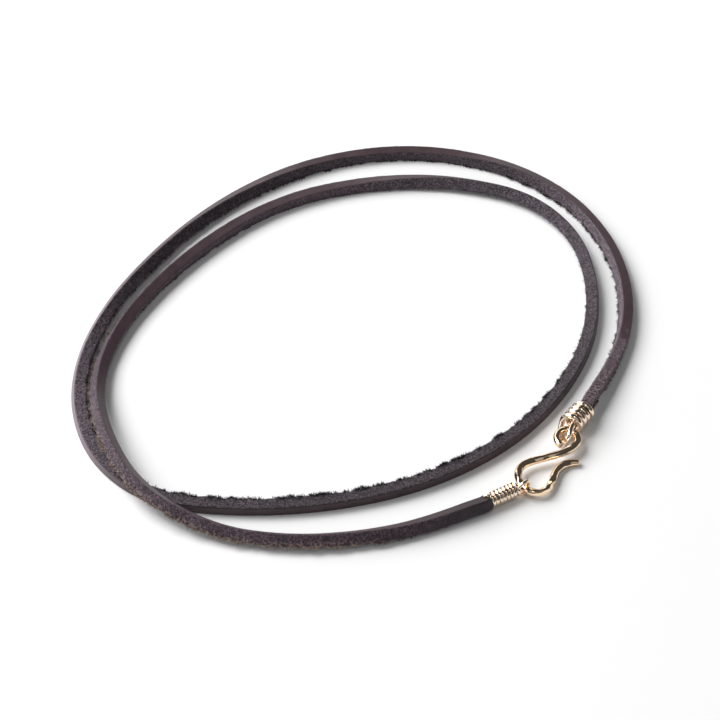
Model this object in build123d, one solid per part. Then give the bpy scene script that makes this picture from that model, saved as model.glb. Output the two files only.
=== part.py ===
"""A leather lace necklace, lying closed on a table: a lace of near-square leather that goes round
twice, a coil of wire on each of its ends, and an S-shaped hook that joins the two coils.

Millimetres. +Z is up, the table top is Z = 0, and the origin is the middle of the necklace's
outline on the table. The clasp lies at +X, -Y.
"""
from build123d import *
from itertools import groupby
import math
import os

# The lace
lace_width = 3.0            # from its inner side to its outer side, as it lies
lace_height = 2.8           # from the table to its upper side, as it lies
lace_corner = 0.35          # how much its four corners are rounded
pared_length = 1.2          # over which each end narrows to its stem
stem_corner = 0.48          # how much the stem's corners are rounded, as a share of its thickness
crossing_clearance = 0.7    # between the two rounds at the top of the crossing

# The thin wire coil, with an upright eye
eye_wire = 0.9
eye_turns = 7.5
eye_stem = 1.7              # thickness of the lace's pared end inside this coil
eye_bore = 2.6              # inside the eye
eye_mouth = (29.95, -56.25)  # middle of the coil's first turn, on the lace's side
eye_heading = 30.0          # degrees from +X, from the lace towards the eye
eye_reach = 1.45            # from the coil's last turn on to the middle of the eye
eye_aside = 0.70            # from the middle of the coil aside to the middle of the eye
eye_facing = -38.0          # degrees from +X, the way that the eye faces
eye_gap = 50.0              # degrees of the eye's round that lie against the coil
eye_tail = 2.2              # length of the wire's cut end, which lies on the lace

# The thick wire coil, with a loop that hangs on to the hook
loop_wire = 1.35
loop_turns = 4.25
loop_stem = 2.6             # thickness of the lace's pared end inside this coil
loop_mouth = (52.9, -27.1)  # middle of the coil's first turn, on the lace's side
loop_heading = 237.7        # degrees from +X, from the lace towards the loop
loop_inside = 1.6           # from the coil's last turn back to the lace's end inside it
loop_return = 0.8           # from the coil's last turn back to the wire's end inside it
loop_skew = 2.6             # sideways, between the loop's lower leg and its upper one
loop_drop = 1.3             # straight wire between the coil and the loop

# The hook
hook_wire = 1.85
ring_end = 1.3              # diameter of the cut end in the ring
ring_taper = 0.6            # length over which the wire narrows to it
tip_end = 1.1               # diameter of the tip
tip_taper = 2.2
ring_middle = (48.45, -37.5)
ring_radius = 2.65          # of the hook's closed end, to the middle of the wire
ring_start = 203.0          # degrees from +X, where the wire's taper begins
ring_tuck = 0.25            # how much nearer to the middle the wire lies there
ring_bend = 173.0           # degrees from +X to the closed end's first bend
ring_step = 40.0            # degrees from each of its bends to the next
ring_steps = 7

# Between pieces, and between a coil's turns
piece_gap = 0.1
turn_gap = 0.05
level_within = 0.005        # of the height at which the lace rests, for a run that lies on the table

# Heights above the table
rest_z = lace_height / 2
over_z = 1.5 * lace_height + crossing_clearance
eye_coil_radius = eye_stem / 2 + piece_gap + eye_wire / 2
loop_coil_radius = loop_stem / 2 + piece_gap + loop_wire / 2
eye_z = eye_coil_radius + eye_wire / 2
loop_z = loop_coil_radius + loop_wire / 2
hook_z = loop_wire + piece_gap + hook_wire / 2

# The lace's route, from the thin coil to the thick one. It goes twice round the table, clockwise
# from above, and passes over itself once.
lace_route = [
    (28.5, -57.1, eye_z),
    (16.0, -63.5, rest_z),
    (0.5, -67.5, rest_z),
    (-16.5, -68.5, rest_z),
    (-33.5, -65.0, rest_z),
    (-50.3, -55.3, over_z),
    (-59.5, -36.0, over_z),
    (-62.3, -16.5, rest_z),
    (-58.2, 1.0, rest_z),
    (-49.5, 17.0, rest_z),
    (-38.5, 31.5, rest_z),
    (-25.5, 44.0, rest_z),
    (-10.0, 52.5, rest_z),
    (8.5, 56.5, rest_z),
    (27.0, 55.7, rest_z),
    (44.0, 49.5, rest_z),
    (55.0, 35.0, rest_z),
    (58.2, 16.5, rest_z),
    (56.3, -1.5, rest_z),
    (49.5, -18.0, rest_z),
    (39.0, -33.0, rest_z),
    (24.7, -44.8, rest_z),
    (8.5, -52.7, rest_z),
    (-9.5, -57.0, rest_z),
    (-27.5, -58.0, rest_z),
    (-46.0, -55.5, rest_z),
    (-59.7, -43.3, rest_z),
    (-65.7, -26.0, rest_z),
    (-65.2, -8.0, rest_z),
    (-60.0, 10.0, rest_z),
    (-51.0, 26.0, rest_z),
    (-40.5, 40.5, rest_z),
    (-27.5, 53.2, rest_z),
    (-12.0, 63.2, rest_z),
    (5.5, 68.2, rest_z),
    (23.5, 67.7, rest_z),
    (40.5, 61.2, rest_z),
    (54.0, 49.5, rest_z),
    (62.0, 35.0, rest_z),
    (65.6, 20.0, rest_z),
    (65.6, 4.0, rest_z),
    (61.2, -11.5, rest_z),
    (54.2, -25.0, loop_z),
]

# The hook's open end: the shank, the round bend that holds the eye, and the tip that turns away
hook_bends = [
    (41.2, -43.4),
    (37.6, -45.0),
    (36.2, -48.0),
    (36.8, -52.0),
    (39.2, -53.7),
    (42.9, -53.3),
    (45.9, -45.7),
    (48.2, -44.0),
    (49.6, -43.8),
]


def heading(degrees):
    """A level unit vector that points this many degrees from +X."""
    angle = math.radians(degrees)
    return Vector(math.cos(angle), math.sin(angle), 0)


def rounded_path(points):
    """Straight runs joined by tangent arcs, each as large as its two runs allow."""
    corners = [Vector(*point) for point in points]
    radii = []
    for before, corner, after in zip(corners, corners[1:], corners[2:]):
        turn = (corner - before).get_angle(after - corner)
        shorter = min((corner - before).length, (after - corner).length)
        radii.append(0.45 * shorter / math.tan(math.radians(turn) / 2))
    return FilletPolyline(*corners, radius=radii), radii


def swept_wire(path, diameter, spiral=False):
    """Round wire of this diameter along a path."""
    start = Plane(origin=path @ 0, z_dir=path % 0)
    return sweep(start * Circle(diameter / 2), path=path, is_frenet=spiral)


def rod(start, direction, length, diameter, end_diameter=None):
    """A straight round rod, or a cone where its end has another diameter."""
    face = Plane(origin=start, z_dir=direction)
    if end_diameter is None:
        return extrude(face * Circle(diameter / 2), amount=length)
    return loft([face * Circle(diameter / 2), face.offset(length) * Circle(end_diameter / 2)])


def coil_line(middle, direction, radius, wire, turns, last_side):
    """The line of a close coil's wire. It ends on the side that last_side points to."""
    pitch = wire + turn_gap
    helix = Helix(pitch=pitch, height=pitch * turns, radius=radius)
    return Plane(origin=middle, x_dir=last_side, z_dir=direction) * Rot(0, 0, -360 * (turns % 1)) * helix


def cut_face(piece, end):
    """The face of a piece that is nearest to this point."""
    return piece.faces().sort_by(lambda face: (face.center() - end).length)[0]


def upright_strip(section, path):
    """A strip along a path, with its two sides upright where it climbs as well as on the table. Each
    stretch is swept from the face in which the one before it ends."""
    def lies_flat(edge):
        return all(abs((edge @ end).Z - rest_z) < level_within for end in (0, 1))

    face = Plane(origin=path @ 0, x_dir=(path % 0).cross(Vector(0, 0, 1)), z_dir=path % 0) * section
    strip = []
    for flat, edges in groupby(path.edges(), key=lies_flat):
        stretch = Wire(list(edges))
        guide = None if flat else stretch.moved(Location((0, 0, 10 * lace_height)))
        strip.append(sweep(face, path=stretch, binormal=guide).solid())
        face = cut_face(strip[-1], stretch @ 1)
    return strip[0] + strip[1:]


def pared_end(lace, end, coil_direction, stem, depth):
    """The lace's end, which narrows to an almost round stem that reaches this deep into the coil."""
    neck = Plane(origin=end + coil_direction * pared_length,
                 x_dir=coil_direction.cross(Vector(0, 0, 1)), z_dir=coil_direction)
    stem_section = neck * RectangleRounded(stem, stem, stem_corner * stem)
    return loft([cut_face(lace, end), stem_section]) + extrude(stem_section, amount=depth)


def leather_lace():
    """The lace, with a round pared end that goes into each coil."""
    path, radii = rounded_path(lace_route)
    section = RectangleRounded(lace_width, lace_height, lace_corner)
    lace = upright_strip(section, path)
    print("lace radii", " ".join(f"{radius:.0f}" for radius in radii))
    print(f"lace path {path.length:.1f} mm, volume / (section x length) =",
          round(lace.volume / (section.area * path.length), 4))
    eye_depth = eye_turns * (eye_wire + turn_gap) - eye_wire
    loop_depth = loop_turns * (loop_wire + turn_gap) - loop_inside
    eye_end = pared_end(lace, path @ 0, heading(eye_heading), eye_stem, eye_depth)
    loop_end = pared_end(lace, path @ 1, heading(loop_heading), loop_stem, loop_depth)
    return lace + eye_end + loop_end


def eye_wrap():
    """The thin coil, whose last turn is bent up into an upright eye. Its other end lies on the lace."""
    along = heading(eye_heading)
    mouth = Vector(*eye_mouth, eye_z)
    eye_radius = eye_bore / 2 + eye_wire / 2
    eye_middle = mouth + along * (eye_turns * (eye_wire + turn_gap) + eye_reach)
    eye_middle += heading(eye_heading - 90) * eye_aside
    eye_middle.Z = eye_radius + eye_wire / 2

    last_side = heading(eye_heading - 90) - Vector(0, 0, 0.7)
    line = coil_line(mouth, along, eye_coil_radius, eye_wire, eye_turns, last_side)
    wrap = swept_wire(line, eye_wire, spiral=True)
    ring = Plane(origin=eye_middle, x_dir=heading(eye_facing + 90), z_dir=heading(eye_facing))
    eye_line = ring * CenterArc((0, 0), eye_radius, 180 + eye_gap / 2, 360 - eye_gap)
    wrap += swept_wire(eye_line, eye_wire)
    tail_z = eye_z + lace_height / 2 + piece_gap + eye_wire / 2
    wrap += rod(Vector(*eye_mouth, tail_z), -along, eye_tail, eye_wire)
    return wrap


def loop_wrap():
    """The thick coil, whose wire goes on under the hook's ring, up through it and back over it."""
    along = heading(loop_heading)
    side = heading(loop_heading - 90)
    mouth = Vector(*loop_mouth, loop_z)
    line = coil_line(mouth, along, loop_coil_radius, loop_wire, loop_turns, side)
    wrap = swept_wire(line, loop_wire, spiral=True)

    ring_wire = Vector(*ring_middle, hook_z) + heading(90) * ring_radius
    turn_radius = hook_wire / 2 + piece_gap + loop_wire / 2
    points = [line @ 1, line @ 1 + (line % 1) * loop_drop]
    for bend in range(5):
        angle = math.radians(-60 * (bend + 1))
        reach = turn_radius / math.cos(math.radians(30))
        across = loop_skew * (bend / 4 - 0.5)
        points.append(ring_wire + Vector(across, reach * math.cos(angle), reach * math.sin(angle)))
    last_turn = mouth + along * loop_turns * (loop_wire + turn_gap)
    points.append(last_turn - along * loop_return + Vector(0, 0, loop_wire / 3))
    loop_line, radii = rounded_path(points)
    wrap += swept_wire(loop_line, loop_wire)
    return wrap


def s_hook():
    """The hook: a ring at one end, then a shank, a round bend and a tip that turns away."""
    middle = Vector(*ring_middle, hook_z)
    points = [middle + heading(ring_start) * (ring_radius - ring_tuck)]
    for step in range(ring_steps):
        side = heading(ring_bend - ring_step * step)
        points.append(middle + side * (ring_radius / math.cos(math.radians(ring_step / 2))))
    points += [Vector(x, y, hook_z) for x, y in hook_bends]
    line, radii = rounded_path(points)
    hook = swept_wire(line, hook_wire)
    hook += rod(line @ 0, -(line % 0), ring_taper, hook_wire, ring_end)
    hook += rod(line @ 1, line % 1, tip_taper, hook_wire, tip_end)
    return hook


nodes = {
    "leather_cord": leather_lace(),
    "eye_wrap": eye_wrap(),
    "loop_wrap": loop_wrap(),
    "s_hook": s_hook(),
}
os.makedirs("parts", exist_ok=True)
for name, piece in nodes.items():
    export_step(piece, f"parts/{name}.step")
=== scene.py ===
import math

import bpy
import numpy as np
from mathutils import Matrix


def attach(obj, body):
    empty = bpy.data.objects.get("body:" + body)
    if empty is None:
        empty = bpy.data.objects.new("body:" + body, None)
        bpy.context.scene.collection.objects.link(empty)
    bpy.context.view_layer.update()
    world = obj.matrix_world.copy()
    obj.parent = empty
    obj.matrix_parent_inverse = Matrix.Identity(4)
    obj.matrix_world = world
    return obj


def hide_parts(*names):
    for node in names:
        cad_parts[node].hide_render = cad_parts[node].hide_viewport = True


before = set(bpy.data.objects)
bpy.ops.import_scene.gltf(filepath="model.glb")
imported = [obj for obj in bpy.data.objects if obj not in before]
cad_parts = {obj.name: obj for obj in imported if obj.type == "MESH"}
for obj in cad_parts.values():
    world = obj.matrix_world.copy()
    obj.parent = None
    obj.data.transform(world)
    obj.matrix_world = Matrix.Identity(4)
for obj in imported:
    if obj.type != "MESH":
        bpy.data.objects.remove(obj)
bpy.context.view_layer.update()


# The camera
# It stands in front of the necklace, 44 degrees up from the table, and looks at the middle of its
# rounds through a long lens, so that near and far stretches look almost equally thick.
mm = 0.001
camera_rise = math.radians(44)
camera_away = 0.6
camera_lens = 125
looked_at = np.array([0.5, -8.25, 0]) * mm

camera_data = bpy.data.cameras.new("camera")
camera_data.lens = camera_lens
camera = bpy.data.objects.new("camera", camera_data)
camera.location = looked_at + camera_away * np.array([0, -math.cos(camera_rise), math.sin(camera_rise)])
camera.rotation_euler = (math.pi / 2 - camera_rise, 0, 0)
bpy.context.scene.collection.objects.link(camera)
bpy.context.scene.camera = camera
bpy.context.scene.view_settings.view_transform = "Standard"


# The table
# A plain white table top, which the necklace lies on. It isn't part of the necklace.
table_half = 3.0
table_white = (0.92, 0.92, 0.92, 1)

table_mesh = bpy.data.meshes.new("table")
table_mesh.from_pydata([(-table_half, -table_half, 0), (table_half, -table_half, 0),
                        (table_half, table_half, 0), (-table_half, table_half, 0)], [], [(0, 1, 2, 3)])
table = bpy.data.objects.new("table", table_mesh)
bpy.context.scene.collection.objects.link(table)
table_finish = bpy.data.materials.new("white table")
table_finish.use_nodes = True
table_shader = table_finish.node_tree.nodes["Principled BSDF"]
table_shader.inputs["Base Color"].default_value = table_white
table_shader.inputs["Roughness"].default_value = 0.9
table_shader.inputs["Specular IOR Level"].default_value = 0.1
table_mesh.materials.append(table_finish)


# The studio light
# One large soft light from the upper left, a pale screen behind the table and another on the left, a
# dim one in front, a small light overhead, and a dim white room, which the metal shows dark.
room_light = 0.07


def soft_light(name, place, width, height, power):
    """An even light at this place, turned to the middle of the table: its place, width and height are
    in metres and its power in watts. It shines down its own -Z, so it is tipped up, then turned."""
    data = bpy.data.lights.new(name, "AREA")
    data.shape = "RECTANGLE"
    data.size = width
    data.size_y = height
    data.energy = power
    light = bpy.data.objects.new(name, data)
    light.location = place
    towards = -np.array(place)
    light.rotation_euler = (math.atan2(math.hypot(towards[0], towards[1]), -towards[2]), 0,
                            math.atan2(towards[1], towards[0]) - math.pi / 2)
    bpy.context.scene.collection.objects.link(light)


soft_light("key", (-0.99, 0.46, 1.10), 1.15, 1.15, 34)
soft_light("behind", (-0.35, 1.2, 0.36), 1.5, 0.75, 5.5)
soft_light("left", (-1.1, -0.45, 0.45), 1.1, 0.8, 3.8)
soft_light("front", (0.1, -1.0, 1.0), 1.4, 1.2, 1.9)
soft_light("overhead", (0.05, -0.40, 1.0), 0.16, 0.16, 0.6)
room = bpy.data.worlds.new("room")
room.use_nodes = True
room.node_tree.nodes["Background"].inputs["Color"].default_value = (1, 1, 1, 1)
room.node_tree.nodes["Background"].inputs["Strength"].default_value = room_light
bpy.context.scene.world = room


# The lace
# One lace of near-square cut leather goes round twice. Its grain side is smooth, and its flesh side and
# two cut edges are napped and frayed. It turns about its own line as it lies, and both its ends are cut
# down to stems inside the coils.
lace_deep = 3.0 * mm        # from its grain side to its flesh side
lace_wide = 2.8 * mm        # from one cut edge to the other
lace_corner = 0.35 * mm
ring_step = 0.4 * mm
route_steps = 24            # points read from the spline for each of the route's runs
lift = 0.02 * mm            # no point of the leather is lower than this over the table

# Heights of the lace's middle: in each coil, where it lies, and where it passes over itself.
thin_coil_z = 1.85 * mm
thick_coil_z = 2.9 * mm
rest_z = 1.4 * mm
over_z = 4.9 * mm

# Each row is a place of the route, across and away in millimetres, with the height there and the
# lace's twist: how far its grain side leans outwards from straight up, in degrees.
lace_route = [
    (28.5, -57.1, thin_coil_z, -17),
    (16.0, -63.5, rest_z, -24),
    (0.5, -67.5, rest_z, -40),
    (-16.5, -68.5, rest_z, -44),
    (-33.5, -65.0, rest_z, -44),
    (-50.3, -55.3, over_z, -41),
    (-59.5, -36.0, over_z, -44),
    (-62.2, -16.5, rest_z, -37),
    (-58.1, 1.0, rest_z, -32),
    (-49.5, 17.0, rest_z, -21),
    (-38.5, 31.5, rest_z, -15),
    (-25.5, 44.0, rest_z, -8),
    (-10.0, 52.5, rest_z, -4),
    (8.5, 56.5, rest_z, 10),
    (27.0, 55.7, rest_z, 35),
    (44.0, 49.5, rest_z, 50),
    (55.0, 35.0, rest_z, 65),
    (58.2, 16.5, rest_z, 78),
    (56.3, -1.5, rest_z, 84),
    (49.5, -18.0, rest_z, 88),
    (39.0, -33.0, rest_z, 92),
    (24.7, -44.8, rest_z, 96),
    (8.5, -52.7, rest_z, 96),
    (-9.5, -57.0, rest_z, 96),
    (-27.5, -58.0, rest_z, 96),
    (-46.0, -55.5, rest_z, 94),
    (-59.9, -43.3, rest_z, 88),
    (-66.1, -26.0, rest_z, 72),
    (-65.7, -8.0, rest_z, 61),
    (-60.0, 10.0, rest_z, 48),
    (-51.0, 26.0, rest_z, 41),
    (-40.5, 40.5, rest_z, 34),
    (-27.5, 53.2, rest_z, 16),
    (-12.0, 63.2, rest_z, 3),
    (5.5, 68.2, rest_z, -6),
    (23.5, 67.7, rest_z, -5),
    (40.5, 61.2, rest_z, 18),
    (54.0, 49.5, rest_z, 16),
    (62.0, 35.0, rest_z, 14),
    (65.6, 20.0, rest_z, 17),
    (65.6, 4.0, rest_z, 18),
    (61.2, -11.5, rest_z, 13),
    (53.8, -25.6, thick_coil_z, 10),
]


def spline_points(places):
    """Points along a NURBS spline of order 3 that these places steer, as Blender reads its own curve."""
    curve = bpy.data.curves.new("route", "CURVE")
    curve.dimensions = "3D"
    curve.resolution_u = route_steps
    spline = curve.splines.new("NURBS")
    spline.points.add(len(places) - 1)
    spline.points.foreach_set("co", np.c_[places, np.ones(len(places))].ravel())
    spline.order_u = 3
    spline.use_endpoint_u = True
    carrier = bpy.data.objects.new("route", curve)
    mesh = bpy.data.meshes.new_from_object(carrier)
    line = np.empty(3 * len(mesh.vertices))
    mesh.vertices.foreach_get("co", line)
    bpy.data.objects.remove(carrier)
    bpy.data.curves.remove(curve)
    bpy.data.meshes.remove(mesh)
    return line.reshape(-1, 3)


def lengths_along(line):
    """How far along the line each of its points lies: the sum of the steps before it."""
    return np.r_[0, np.cumsum(np.linalg.norm(np.diff(line, axis=0), axis=1))]


def values_at(distances, known_distances, known):
    """Known rows of numbers read at other distances along the same line, in proportion between rows."""
    return np.stack([np.interp(distances, known_distances, column) for column in known.T], axis=-1)


def unit(vectors):
    """Each vector divided by its length."""
    return vectors / np.linalg.norm(vectors, axis=-1, keepdims=True)


def heading(degrees):
    """A level unit vector that points this many degrees from +X."""
    return np.array([math.cos(math.radians(degrees)), math.sin(math.radians(degrees)), 0])


def smooth_noise(rows, columns, row_blur, column_blur, seed):
    """Uneven heights with a spread of one: a random number for each point of a grid, smoothed by a
    bell that is this many rows and columns wide. Both ways round, the last point meets the first."""
    noise = np.random.default_rng(seed).normal(size=(rows, columns))
    bell = np.exp(-2 * (math.pi * row_blur * np.fft.fftfreq(rows)) ** 2)[:, None]
    bell = bell * np.exp(-2 * (math.pi * column_blur * np.fft.fftfreq(columns)) ** 2)
    noise = np.fft.ifft2(np.fft.fft2(noise) * bell).real
    return noise / noise.std()


def skin(name, rings):
    """A closed tube: the points of each ring are joined to the next ring's, and a fan of triangles
    closes each end at the middle of its ring. Returns the object."""
    count, around = rings.shape[:2]
    first = np.arange((count - 1) * around).reshape(count - 1, around)
    beside = np.roll(first, -1, axis=1)
    walls = np.stack([first, beside, beside + around, first + around], axis=-1).reshape(-1, 4)
    start, end = np.arange(around), np.arange(around) + (count - 1) * around
    middle = count * around
    caps = [np.stack([np.roll(start, -1), start, np.full(around, middle)], axis=-1),
            np.stack([end, np.roll(end, -1), np.full(around, middle + 1)], axis=-1)]
    points = np.concatenate([rings.reshape(-1, 3), [rings[0].mean(0)], [rings[-1].mean(0)]])
    mesh = bpy.data.meshes.new(name)
    mesh.from_pydata(points, [], walls.tolist() + np.concatenate(caps).tolist())
    mesh.polygons.foreach_set("use_smooth", np.arange(len(mesh.polygons)) < len(walls))
    piece = bpy.data.objects.new(name, mesh)
    bpy.context.scene.collection.objects.link(piece)
    return piece


def add_number(piece, name, values):
    """A number for each point of the mesh, which its material reads by this name."""
    column = piece.data.attributes.new(name, "FLOAT", "POINT")
    padded = np.zeros(len(piece.data.vertices), np.float32)
    padded[:values.size] = values.ravel()
    column.data.foreach_set("value", padded)


class Socket:
    """An output of a shader node. Sums on it, with numbers or other sockets, add Math nodes."""

    def __init__(self, finish, output):
        self.finish = finish
        self.output = output

    def maths(self, operation, first, second):
        return self.finish.node("ShaderNodeMath", {"operation": operation}, {0: first, 1: second})

    def __add__(self, other):
        return self.maths("ADD", self, other)

    def __sub__(self, other):
        return self.maths("SUBTRACT", self, other)

    def __rsub__(self, other):
        return self.maths("SUBTRACT", other, self)

    def __mul__(self, other):
        return self.maths("MULTIPLY", self, other)

    __radd__ = __add__
    __rmul__ = __mul__


class Finish:
    """A material with a Principled shader. node() adds any node, and shade() sets the shader."""

    def __init__(self, name):
        self.material = bpy.data.materials.new(name)
        self.material.use_nodes = True
        self.tree = self.material.node_tree

    def feed(self, inputs, values):
        for key, value in values.items():
            if isinstance(value, Socket):
                self.tree.links.new(value.output, inputs[key])
            else:
                inputs[key].default_value = value

    def node(self, kind, settings=None, values=None, output=0):
        made = self.tree.nodes.new(kind)
        for key, value in (settings or {}).items():
            setattr(made, key, value)
        self.feed(made.inputs, values or {})
        return Socket(self, made.outputs[output])

    def mix(self, share, colour, other):
        return self.node("ShaderNodeMix", {"data_type": "RGBA"}, {0: share, 6: colour, 7: other}, output=2)

    def number(self, name):
        return self.node("ShaderNodeAttribute", {"attribute_name": name}, output=2)

    def noise(self, scale, detail, roughness):
        place = self.node("ShaderNodeTexCoord", output=3)
        return self.node("ShaderNodeTexNoise", {}, {"Vector": place, "Scale": scale, "Detail": detail,
                                                   "Roughness": roughness})

    def ramp(self, share, low, high):
        """0 below low and 1 above high, in proportion between."""
        return self.node("ShaderNodeMapRange", {}, {"Value": share, 1: low, 2: high})

    def bump(self, height, strength, distance):
        return self.node("ShaderNodeBump", {},
                         {"Height": height, "Strength": strength, "Distance": distance})

    def shade(self, **values):
        names = {"colour": "Base Color", "roughness": "Roughness", "metal": "Metallic", "bump": "Normal",
                 "sheen": "Sheen Weight", "sheen_roughness": "Sheen Roughness", "sheen_tint": "Sheen Tint",
                 "gloss": "Specular IOR Level"}
        inputs = self.tree.nodes["Principled BSDF"].inputs
        self.feed(inputs, {names[key]: value for key, value in values.items()})


def grain_finish():
    """Smooth leather with fine pores and creases: dark brown and nearly black where it is waxed, with
    painted
    light: pale specks where the number called pale paints side light and sheen, and a painted highlight
    along its rims."""
    finish = Finish("smooth grain")
    pores = finish.noise(5200, 3, 0.6)
    creases = finish.noise(1500, 3, 0.6)
    patches = finish.noise(260, 4, 0.55)
    # Painted light: pale specks on the grain where side light grazes it and its sheen shows.
    painted_sheen = finish.number("pale") * finish.ramp(pores, 0.3, 0.6)
    # Painted highlight: a lighter line along the grain side's corners, where their edges catch the light.
    painted_highlight = finish.ramp(finish.number("painted_rim_highlight"), 0.3, 1.0) * finish.ramp(creases, 0.25, 0.6) * 0.85
    colour = finish.mix(finish.ramp(patches, 0.35, 0.7), (0.030, 0.014, 0.017, 1), (0.055, 0.029, 0.036, 1))
    colour = finish.mix(painted_sheen, colour, (0.26, 0.205, 0.245, 1))
    colour = finish.mix(finish.number("waxed") * 0.7, colour, (0.014, 0.006, 0.008, 1))
    colour = finish.mix(painted_highlight, colour, (0.30, 0.23, 0.26, 1))
    finish.shade(colour=colour, roughness=finish.ramp(pores, 0.2, 0.8) * 0.18 + 0.38, gloss=0.45,
                 sheen=0.06, sheen_roughness=0.4, sheen_tint=(0.9, 0.7, 0.85, 1),
                 bump=finish.bump(pores * 0.5 + creases, 0.6, 0.07 * mm))
    return finish.material


def nap_finish():
    """Cut and flesh sides: short raised fibres, light on their tips and nearly black between them, partly
    their own tones and partly painted light on the tips and painted shade in the hollows, with the raw
    leather's tan where the number called tan says. The number called pale paints side light on the
    tips, and shade where it is below 0. Some sides are greyer, and close to the thin coil the wax has
    laid the fibres flat."""
    finish = Finish("napped leather")
    tips = finish.noise(4200, 3, 0.75)
    tufts = finish.noise(1800, 3, 0.6)
    patches = finish.noise(200, 3, 0.5)
    raised = 1 - finish.number("waxed")
    pale = finish.number("pale")
    # Painted light and shade: pale makes the light on the tips stronger, and weaker where it is below 0.
    fleck = finish.ramp(tips * 0.65 + tufts * 0.35, 0.46, 0.60) * (raised * 0.85 + 0.15) * (pale * 0.6 + 1)
    raw = finish.number("tan") * finish.ramp(tufts, 0.5, 0.58)
    # Light tips and nearly black hollows: partly the fibres' own tones, partly painted light on the tips
    # and painted shade between them.
    dark = finish.mix(finish.ramp(patches, 0.35, 0.65), (0.010, 0.007, 0.009, 1), (0.024, 0.016, 0.021, 1))
    light = finish.mix(finish.number("cool"), (0.145, 0.100, 0.127, 1), (0.152, 0.128, 0.147, 1))
    # Painted light: where pale is high, the tips are painted paler still.
    light = finish.mix(pale, light, (0.34, 0.27, 0.32, 1))
    colour = finish.mix(raw, finish.mix(fleck, dark, light), (0.29, 0.22, 0.175, 1))
    finish.shade(colour=colour, roughness=raised * 0.35 + 0.5, gloss=0.3,
                 sheen=0.22, sheen_roughness=0.5, sheen_tint=(0.95, 0.75, 0.9, 1),
                 bump=finish.bump((tips * 0.6 + tufts) * raised, 1.0, 0.16 * mm))
    return finish.material


def fibre_finish():
    """Loose fibres: near black, lilac grey or, where the number called tan is 1, the raw leather's tan."""
    finish = Finish("loose fibres")
    spots = finish.noise(1800, 2, 0.5)
    colour = finish.mix(finish.ramp(spots, 0.5, 0.7), (0.016, 0.011, 0.014, 1), (0.10, 0.078, 0.092, 1))
    colour = finish.mix(finish.number("tan"), colour, (0.30, 0.23, 0.18, 1))
    finish.shade(colour=colour, roughness=0.8, gloss=0.3)
    return finish.material


# The lace's middle is the spline that the route steers. Places along it are counted in the spline's
# own runs, of which there are two fewer than places of the route: the first and last of those act at
# its ends, and each of the others half way through a run.
places = np.array([(x * mm, y * mm, z) for x, y, z, twist in lace_route])
spline = spline_points(places)
runs = len(places) - 2
spline_run = np.linspace(0, runs, len(spline))
place_run = np.r_[0, np.arange(0.5, runs), runs]
spline_twist = np.interp(spline_run, place_run, [twist for x, y, z, twist in lace_route])

# Both ends go on straight from the spline into their coils, as stems that are cut thinner.
thin_mouth = np.array([29.95 * mm, -55.9 * mm, thin_coil_z + 0.1 * mm])
thin_degrees = 30.7
thin_along = heading(thin_degrees)
thin_stem = 1.7 * mm
thin_depth = 6.2 * mm
thick_mouth = np.array([53.0 * mm, -27.7 * mm, thick_coil_z])
thick_degrees = 234.0
thick_along = heading(thick_degrees)
thick_stem = 2.4 * mm
thick_depth = 4.1 * mm
pared = 0.9 * mm            # the stretch over which the lace narrows to its stem
lowered = 6 * mm            # how far from a coil the lace has come down on to the table

route_line = np.concatenate([[thin_mouth + thin_along * thin_depth, thin_mouth], spline,
                             [thick_mouth, thick_mouth + thick_along * thick_depth]])
route_twist = np.r_[[spline_twist[0]] * 2, spline_twist, [spline_twist[-1]] * 2]
route_run = np.r_[[spline_run[0]] * 2, spline_run, [spline_run[-1]] * 2]
reached = lengths_along(route_line)
ring_places = np.arange(0, reached[-1], ring_step)
lace_line = values_at(ring_places, reached, route_line)
lace_run = np.interp(ring_places, reached, route_run)
from_thin = ring_places - reached[1]
from_thick = reached[-2] - ring_places
from_coil = np.minimum(from_thin, from_thick)

# The twist is evened out over some rings, so that it changes without a kink.
evened = 49
bell = np.hanning(evened) / np.hanning(evened).sum()
twist = np.interp(ring_places, reached, route_twist)
twist = np.radians(np.convolve(np.pad(twist, evened // 2, "edge"), bell, "valid"))

# The lace's four sides turn with the twist, and it is lifted until its lowest corner is on the table.
flat_deep, flat_wide = lace_deep / 2 - lace_corner, lace_wide / 2 - lace_corner
reach_down = flat_deep * np.abs(np.cos(twist)) + flat_wide * np.abs(np.sin(twist)) + lace_corner
lace_line[:, 2] += (reach_down - rest_z) * np.clip(from_coil / lowered, 0, 1)
along = unit(np.gradient(lace_line, axis=0))
outward = unit(np.cross((0, 0, 1), along))
upward = np.cross(along, outward)
grain_way = np.cos(twist)[:, None] * upward + np.sin(twist)[:, None] * outward
edge_way = np.cos(twist)[:, None] * outward - np.sin(twist)[:, None] * upward

# The section goes round from the grain side over the outer cut edge, the flesh side and the inner cut
# edge: the points of a straight side, then those of a round corner, four times. Each point stands off
# from a place of the inner square, in its own direction, by the corner's radius.
side_steps, corner_steps = 8, 4
quarter = side_steps + corner_steps
side = np.arange(4)[:, None]
step = np.arange(quarter)[None]
half_side = np.where(side % 2, flat_deep, flat_wide)
half_reach = np.where(side % 2, flat_wide, flat_deep)
across = half_side * np.minimum(2 * step / side_steps - 1, 1)
turn = np.radians(90 * side)
section = np.stack([across * np.cos(turn) + half_reach * np.sin(turn),
                    half_reach * np.cos(turn) - across * np.sin(turn)], axis=-1).reshape(-1, 2)
facing = turn + np.radians(90 * np.maximum(step - side_steps, 0) / corner_steps)
normals = np.stack([np.sin(facing), np.cos(facing)], axis=-1).reshape(-1, 2)
rings_count, around = len(ring_places), len(section)
column = np.arange(around)
is_grain = (column < side_steps + corner_steps // 2) | (column >= around - corner_steps // 2)


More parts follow.
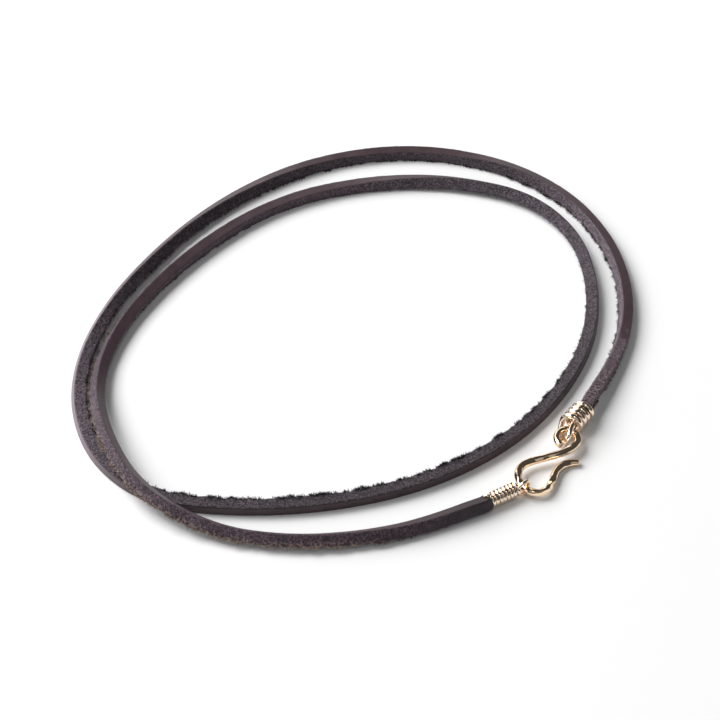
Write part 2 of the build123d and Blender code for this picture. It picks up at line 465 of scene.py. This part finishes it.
def near_corner(corner, width):
    """1 at the middle of this corner of the section, falling to 0 this many points away from it."""
    middle = corner * quarter + side_steps + corner_steps / 2
    away = np.abs((column - middle + around / 2) % around - around / 2)
    return np.clip(1 - away / width, 0, 1)


def along_lace(stations):
    """A column of numbers, one for each ring: those given for some places of the lace, counted in runs
    from the thin coil, and in proportion between them."""
    return np.interp(lace_run, list(stations), list(stations.values()))[:, None]


# What the surface is like at each point. Fray is how ragged a corner is, tan where raw leather shows,
# waxed where the fibres are laid flat, cool where the nap is greyer, and pale is painted light and shade:
# how much paler or darker the colour is painted. A painted highlight runs along the grain side's corners.
grain_outer, flesh_outer, flesh_inner, grain_inner = 0, 1, 2, 3
outer_fray = along_lace({0: 0.3, 1: 0.7, 2: 1, 5: 1, 8: 0.9, 12: 0.4, 40: 0.4, 40.8: 1.15})
inner_fray = along_lace({0: 0.2, 7: 0.3, 8: 0.8, 10: 0.8, 11: 0.3, 18: 0.6, 19.5: 1.15, 25: 1.15, 27: 0.8,
                         30: 0.7, 33: 0.8, 35: 0.9})
fray = outer_fray * near_corner(flesh_outer, 4.5) + inner_fray * near_corner(flesh_inner, 4.5)
tan = along_lace({0.8: 0, 1.6: 1, 5.5: 1, 8: 0.6, 10: 0}) * near_corner(flesh_outer, 6.0)
tan = np.maximum(tan, along_lace({40: 0, 40.8: 0.5}))
waxed = np.interp(from_thin, [6 * mm, 22 * mm], [1, 0])[:, None] + np.zeros(around)
cool = along_lace({9: 0, 14: 1}) * (column > 2 * quarter)
left_bend = (lace_run > 24) & (lace_run < 31)
right_bend = (lace_run > 34) & (lace_run < 40)
# Painted light and shade along the lace: above 0 the colour is painted paler where side light grazes the
# nap and the grain shows sheen; below 0 the nap is painted darker where a side faces away from the light.
pale = along_lace({3: 0, 5.5: 0.15, 7.5: 0.15, 12: 0.1, 14: 0, 16: 0.05, 18: -0.1, 19: -0.3, 24.5: -0.3,
                   26: 0.9, 28: 0.9, 29.5: -0.2, 35.5: -0.1, 37: 0.5, 40: 0.55, 42: 0.2})
# Painted shade: at the two bends, most of the painted light is kept off the sides that face away from it.
pale = pale * np.where(left_bend[:, None] & (column >= 2 * quarter), 0.3, 1)
pale = pale * np.where(right_bend[:, None] & is_grain, 0.3, 1)
# A painted highlight along the grain side's corners: how strong it is along the lace, full on the outer
# corner.
rim_highlight_along = along_lace({0: 0.5, 5: 0.7, 7: 1, 11: 1, 13: 0.5, 27: 0.4, 28: 0.9, 31: 0.9, 33: 0.5, 36: 0.5,
                    37.5: 1, 40.5: 1, 42: 0.6})
painted_rim_highlight = rim_highlight_along * (near_corner(grain_outer, 2.4) + 0.5 * near_corner(grain_inner, 2.2))

# The lace swells slowly along its length, its napped sides are rough and its frayed corners ragged.
swell = 0.035 * mm * smooth_noise(rings_count, around, 30, 8, 11)
nap = 0.02 * mm * smooth_noise(rings_count, around, 0.8, 0.7, 12) * np.where(is_grain, 0.15, 1)
ragged = 0.11 * mm * smooth_noise(rings_count, around, 1.0, 1.2, 13) * fray
standing_off = lace_corner + swell + (nap + ragged) * (1 - waxed)


def shoulder(distance, stem):
    """How much the section shrinks towards a coil: full size beyond the pared stretch, and round as a
    quarter circle down to the stem's size at the coil's mouth."""
    part = np.clip(distance / pared, 0, 1)
    least = stem / lace_deep
    return least + (1 - least) * np.sqrt(1 - (1 - part) ** 2)


size = np.minimum(shoulder(from_thin, thin_stem), shoulder(from_thick, thick_stem))
body = (section + normals * standing_off[..., None]) * size[:, None, None]
lace_rings = lace_line[:, None] + body[..., :1] * edge_way[:, None] + body[..., 1:] * grain_way[:, None]
lace_rings[..., 2] = np.maximum(lace_rings[..., 2], lift)
lace = skin("lace", lace_rings)
for name, values in (("painted_rim_highlight", painted_rim_highlight), ("tan", tan), ("waxed", waxed), ("cool", cool), ("pale", pale)):
    add_number(lace, name, values)

# The grain side has the smooth finish up to the last run. There it is worn away, at first in spots.
worn_through = lace_run[:-1, None] + 0.4 * smooth_noise(rings_count - 1, around, 1.5, 1.5, 14) > 40.2
napped = ~(is_grain & np.roll(is_grain, -1)) | worn_through
slots = np.zeros(len(lace.data.polygons), np.int32)
slots[:napped.size] = napped.ravel()
lace.data.materials.append(grain_finish())
lace.data.materials.append(nap_finish())
lace.data.polygons.foreach_set("material_index", slots)


def fibres(name, count, likely, lengths, thickness, lean, seed):
    """Short tapered fibres on the lace, more of them where likely is larger. Each is a root of three
    points inside the leather, three more half way along it, and a tip, and is bent half way."""
    rng = np.random.default_rng(seed)
    ring, place = np.divmod(rng.choice(likely.size, count, p=(likely / likely.sum()).ravel()), around)
    ring = np.minimum(ring, rings_count - 2)
    slide = rng.uniform(0, 1, (count, 1))
    foot = (1 - slide) * lace_rings[ring, place] + slide * lace_rings[ring + 1, place]
    away = normals[place, :1] * edge_way[ring] + normals[place, 1:] * grain_way[ring]
    first = unit(away + lean * rng.normal(size=(count, 3)))
    second = unit(first + 0.4 * rng.normal(size=(count, 3)))
    length = rng.uniform(*lengths, (count, 1))
    width = rng.uniform(0.6, 1.2, (count, 1)) * thickness / 2
    beside = unit(np.cross(first, rng.normal(size=(count, 3))))
    turn = np.radians([0, 120, 240])[None, :, None]
    spread = np.cos(turn) * beside[:, None] + np.sin(turn) * np.cross(beside, first)[:, None]
    root = (foot - 0.04 * mm * away)[:, None] + width[:, None] * spread
    bend = (foot + 0.5 * length * first)[:, None] + 0.65 * width[:, None] * spread
    tip = (foot + 0.5 * length * (first + second))[:, None]
    points = np.concatenate([root, bend, tip], axis=1).reshape(-1, 3)
    points[:, 2] = np.maximum(points[:, 2], lift)
    start = 7 * np.arange(count)[:, None, None]
    threes = np.array([[2, 1, 0], [3, 4, 6], [4, 5, 6], [5, 3, 6]]) + start
    fours = np.array([[0, 1, 4, 3], [1, 2, 5, 4], [2, 0, 3, 5]]) + start
    mesh = bpy.data.meshes.new(name)
    mesh.from_pydata(points, [], threes.reshape(-1, 3).tolist() + fours.reshape(-1, 4).tolist())
    mesh.materials.append(loose_fibres)
    piece = bpy.data.objects.new(name, mesh)
    bpy.context.scene.collection.objects.link(piece)
    add_number(piece, "tan", np.repeat((tan[ring, place] > rng.uniform(0.1, 0.9, count)) * 1.0, 7))
    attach(piece, "root")
    return piece


loose_fibres = fibre_finish()
bare = (1 - waxed) * (from_coil > pared)[:, None]
clumps = np.maximum(smooth_noise(rings_count, around, 1.3, 1.5, 30) + 0.9, 0)
corner_tufts = fibres("corner_tufts", 8000, bare * fray ** 3 * clumps, (0.25 * mm, 0.95 * mm),
                      0.15 * mm, 0.45, 31)
nap_hairs = fibres("nap_hairs", 20000, bare * np.where(is_grain, 0.0, 0.3 + fray), (0.15 * mm, 0.45 * mm),
                   0.055 * mm, 0.9, 32)
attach(lace, "root")
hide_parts("leather_cord")


# The thin coil
# Seven turns of thin round wire on the lace's thin end. Its cut end lies on the lace, and its last
# turn is bent up into an eye, through which the hook goes, and ends inside the coil.
thin_wire = 0.9 * mm
thin_turns = 7.35
thin_pitch = 0.94 * mm
thin_radius = 1.4 * mm      # of the wire's middle about the coil's own
tail_taper = 0.9 * mm
eye_middle = np.array([37.75, -52.3, 2.3]) * mm
eye_radius = 1.75 * mm
eye_plane = heading(52.0)
eye_aside = 0.85 * mm       # how far the eye's end passes beside its start
eye_aside_way = heading(142.0)


def cut_corners(points, rounds=4):
    """The smooth line that these points steer. Each round puts two points on every run, a quarter and
    three quarters along it, in place of its corners, and keeps the two ends."""
    line = np.array(points, float)
    for _ in range(rounds):
        cut = np.stack([0.75 * line[:-1] + 0.25 * line[1:], 0.25 * line[:-1] + 0.75 * line[1:]], axis=1)
        line = np.concatenate([line[:1], cut.reshape(-1, 3), line[-1:]])
    return line


def even_points(line, step):
    """The same line, read about every step of its length."""
    reached = lengths_along(line)
    return values_at(np.linspace(0, reached[-1], round(reached[-1] / step) + 1), reached, line)


def coil_line(middle, direction, radii, pitch, turns, last_side):
    """A right-handed helix whose radius goes from the first of two to the second, and which ends on
    the side that last_side points to. Its turns lie a little unevenly, as wire wound by hand does."""
    turn = np.linspace(0, turns, round(48 * turns))
    angle = 2 * math.pi * (turn - turns)
    radius = np.interp(turn, (0, turns), radii) * (1 + 0.012 * np.sin(1.9 * angle))
    forward = pitch * (turn + 0.05 * np.sin(0.37 * angle + 1))
    across = np.cos(angle)[:, None] * last_side + np.sin(angle)[:, None] * np.cross(direction, last_side)
    return middle + forward[:, None] * direction + radius[:, None] * across


def wire_rings(line, radii, around):
    """Rings of round wire about a line. Each ring's first side is that of the ring before, made square
    to the line again, and its points stand off from the line by the radius, evenly round it."""
    along = unit(np.gradient(line, axis=0))
    sides = [unit(np.cross(along[0], (0.3, 0.2, 1)))]
    for way in along[1:]:
        sides.append(unit(sides[-1] - way * (way @ sides[-1])))
    sides = np.array(sides)
    turn = np.linspace(0, 2 * math.pi, around, endpoint=False)[None, :, None]
    circle = np.cos(turn) * sides[:, None] + np.sin(turn) * np.cross(sides, along)[:, None]
    return line[:, None] + radii[:, None, None] * circle


def gold_finish(name, deep, pale):
    """Polished gold-toned wire, deeper in tone here and paler there: fine scratches, spots that the
    polish left duller, and a brown cut face where the number called cut is 1."""
    finish = Finish(name)
    scratches = finish.noise(2600, 3, 0.6)
    spots = finish.noise(700, 3, 0.55)
    dull = finish.ramp(spots, 0.3, 0.7)
    tone = finish.mix(finish.number("cut"), finish.mix(dull, deep, pale), (0.36, 0.22, 0.13, 1))
    finish.shade(colour=tone, metal=1.0, roughness=dull * 0.06 + 0.05,
                 bump=finish.bump(scratches, 0.15, 0.02 * mm))
    return finish.material


def wire_piece(name, node, rings, finish):
    """A wire as an object that takes the place of a piece of the frame."""
    piece = skin(name, rings)
    piece.data.materials.append(finish)
    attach(piece, "root")
    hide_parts(node)
    return piece


coil_gold = gold_finish("pale gold wire", (0.88, 0.70, 0.54, 1), (0.95, 0.82, 0.70, 1))
tail = np.array([[28.3, -56.05, 3.42], [29.1, -56.0, 3.5], [29.6, -55.95, 3.45]]) * mm
thin_last_side = unit(heading(thin_degrees - 90) - (0, 0, 0.7))
thin_helix = coil_line(thin_mouth, thin_along, (thin_radius, thin_radius), thin_pitch, thin_turns,
                       thin_last_side)
eye_degrees = np.arange(250, 580, 25)
eye_turn = np.radians(eye_degrees)[:, None]
eye_line = eye_middle + eye_radius * (np.cos(eye_turn) * eye_plane + np.sin(eye_turn) * (0, 0, 1))
eye_line += np.interp(eye_degrees, (450, 550), (0, eye_aside))[:, None] * eye_aside_way
thin_line = even_points(cut_corners(np.concatenate([tail, thin_helix, eye_line])), 0.12 * mm)
reached = lengths_along(thin_line)
thin_radii = np.interp(reached, (0, tail_taper), (0.55, 1)) * thin_wire / 2
wire_piece("thin_coil", "eye_wrap", wire_rings(thin_line, thin_radii, 20), coil_gold)


# The thick coil
# Nearly four turns of thicker wire, which widen towards the clasp. The wire goes on under the hook's
# ring, turns up inside it, comes back over it and ends inside the coil.
thick_wire = 1.3 * mm
thick_turns = 3.75
thick_pitch = 1.62 * mm
thick_across = (2.06 * mm, 2.20 * mm)       # from the coil's middle to the wire's, at its two ends
loop_route = np.array([
    (47.2, -32.2, 1.6), (47.1, -33.4, 0.78), (47.35, -35.0, 0.72), (47.7, -36.8, 0.85),
    (48.1, -37.7, 2.4), (48.75, -37.1, 3.95), (49.35, -35.1, 4.12), (49.85, -33.4, 4.1),
    (50.3, -32.0, 3.6), (50.7, -30.9, 3.2),
]) * mm

thick_last_side = heading(thick_degrees - 90)
thick_helix = coil_line(thick_mouth, thick_along, thick_across, thick_pitch, thick_turns, thick_last_side)
thick_line = even_points(cut_corners(np.concatenate([thick_helix, loop_route])), 0.14 * mm)

# Its end on the lace's side is drawn thin, and the loop is a little thinner than the turns.
reached = lengths_along(thick_line)
left = reached[-1] - reached
thick_radii = np.interp(reached, (0, 2 * mm), (0.7, 1)) * thick_wire / 2
thick_radii = thick_radii * np.interp(left, (0, 9 * mm, 13 * mm), (0.9, 0.94, 1))
wire_piece("thick_coil", "loop_wrap", wire_rings(thick_line, thick_radii, 28), coil_gold)


# The hook
# One forged wire: a ring with a flat cut end, a shank, a round bend that holds the eye, and a tip that
# turns away. It slopes down from the ring to the tip, and hammer blows have left facets all over it.
hook_wire = 1.85 * mm
hook_marks = 95             # blows of the hammer that left a facet, most of them on the round bend
hook_route = np.array([
    (46.85, -39.05, 2.4), (46.2, -38.2, 2.4), (46.0, -36.65, 2.4), (46.45, -35.05, 2.4),
    (47.6, -34.15, 2.4), (48.95, -34.0, 2.4), (50.05, -34.6, 2.4), (50.75, -35.95, 2.4),
    (50.85, -37.4, 2.4), (50.4, -38.7, 2.4), (49.15, -40.1, 2.35), (46.75, -41.5, 2.3),
    (42.6, -42.85, 2.15), (39.2, -44.0, 2.05), (37.25, -45.45, 2.0), (36.5, -47.5, 1.95),
    (36.65, -49.8, 1.9), (37.45, -51.8, 1.9), (38.75, -53.05, 1.9), (40.5, -53.45, 1.8),
    (42.2, -52.85, 1.65), (43.55, -51.35, 1.5), (44.55, -48.4, 1.3), (45.5, -45.6, 1.15),
    (47.1, -43.95, 1.05), (48.85, -43.2, 1.0), (50.85, -43.1, 0.95),
]) * mm


def hammered(rings, line, radii):
    """The rings pressed flat. No point stands higher over the line than a part of the radius, which is
    least at the left bend. Then, over each facet, none stands further from the line, in the facet's own
    direction, than a limit that is lowest in the facet's middle and rises with the square of the
    distance from it along the wire."""
    rng = np.random.default_rng(5)
    reached = lengths_along(line)
    along = unit(np.gradient(line, axis=0))
    outward = np.cross(along, (0, 0, 1))
    flat_top = np.interp(reached / reached[-1], (0, 0.4, 0.46, 0.51, 0.57, 0.9, 1),
                         (1, 1, 0.82, 0.82, 1, 1, 0.95)) * radii
    height = rings[..., 2] - line[:, None, 2]
    rings[..., 2] -= np.maximum(height - flat_top[:, None], 0)
    for _ in range(hook_marks):
        share = rng.beta(2.6, 1.9)
        at = int(share * len(line))
        lean = math.radians(rng.uniform(-85, 85))
        half_length = rng.uniform(0.7, 1.9) * mm
        depth = rng.uniform(0.03, 0.09) * (3 if 0.56 < share < 0.85 else 1) * radii[at]
        facing = unit(math.cos(lean) * np.array([0, 0, 1]) + math.sin(lean) * outward[at])
        height = (rings - line[:, None]) @ facing
        limit = radii - depth + depth * ((reached - reached[at]) / half_length) ** 2
        rings -= np.maximum(height - limit[:, None], 0)[..., None] * facing
    return rings


# The ring's cut end is a little thinner than the wire, and the tip is drawn thinner and rounded off.
hook_line = even_points(cut_corners(hook_route), 0.11 * mm)
reached = lengths_along(hook_line)
left = reached[-1] - reached
hook_radii = np.interp(reached, (0, 0.12 * mm, 0.8 * mm), (0.84, 0.92, 1)) * hook_wire / 2
hook_radii = hook_radii * np.interp(left, (0, 3 * mm), (0.78, 1))
hook_radii = hook_radii * np.sqrt(1 - 0.75 * np.clip(1 - left / (0.4 * mm), 0, 1) ** 2)
hook_rings = hammered(wire_rings(hook_line, hook_radii, 44), hook_line, hook_radii)
hook_gold = gold_finish("gold wire", (0.86, 0.64, 0.42, 1), (0.95, 0.76, 0.57, 1))
hook = wire_piece("hook", "s_hook", hook_rings, hook_gold)
add_number(hook, "cut", np.r_[np.zeros(hook_rings[..., 0].size), 1])
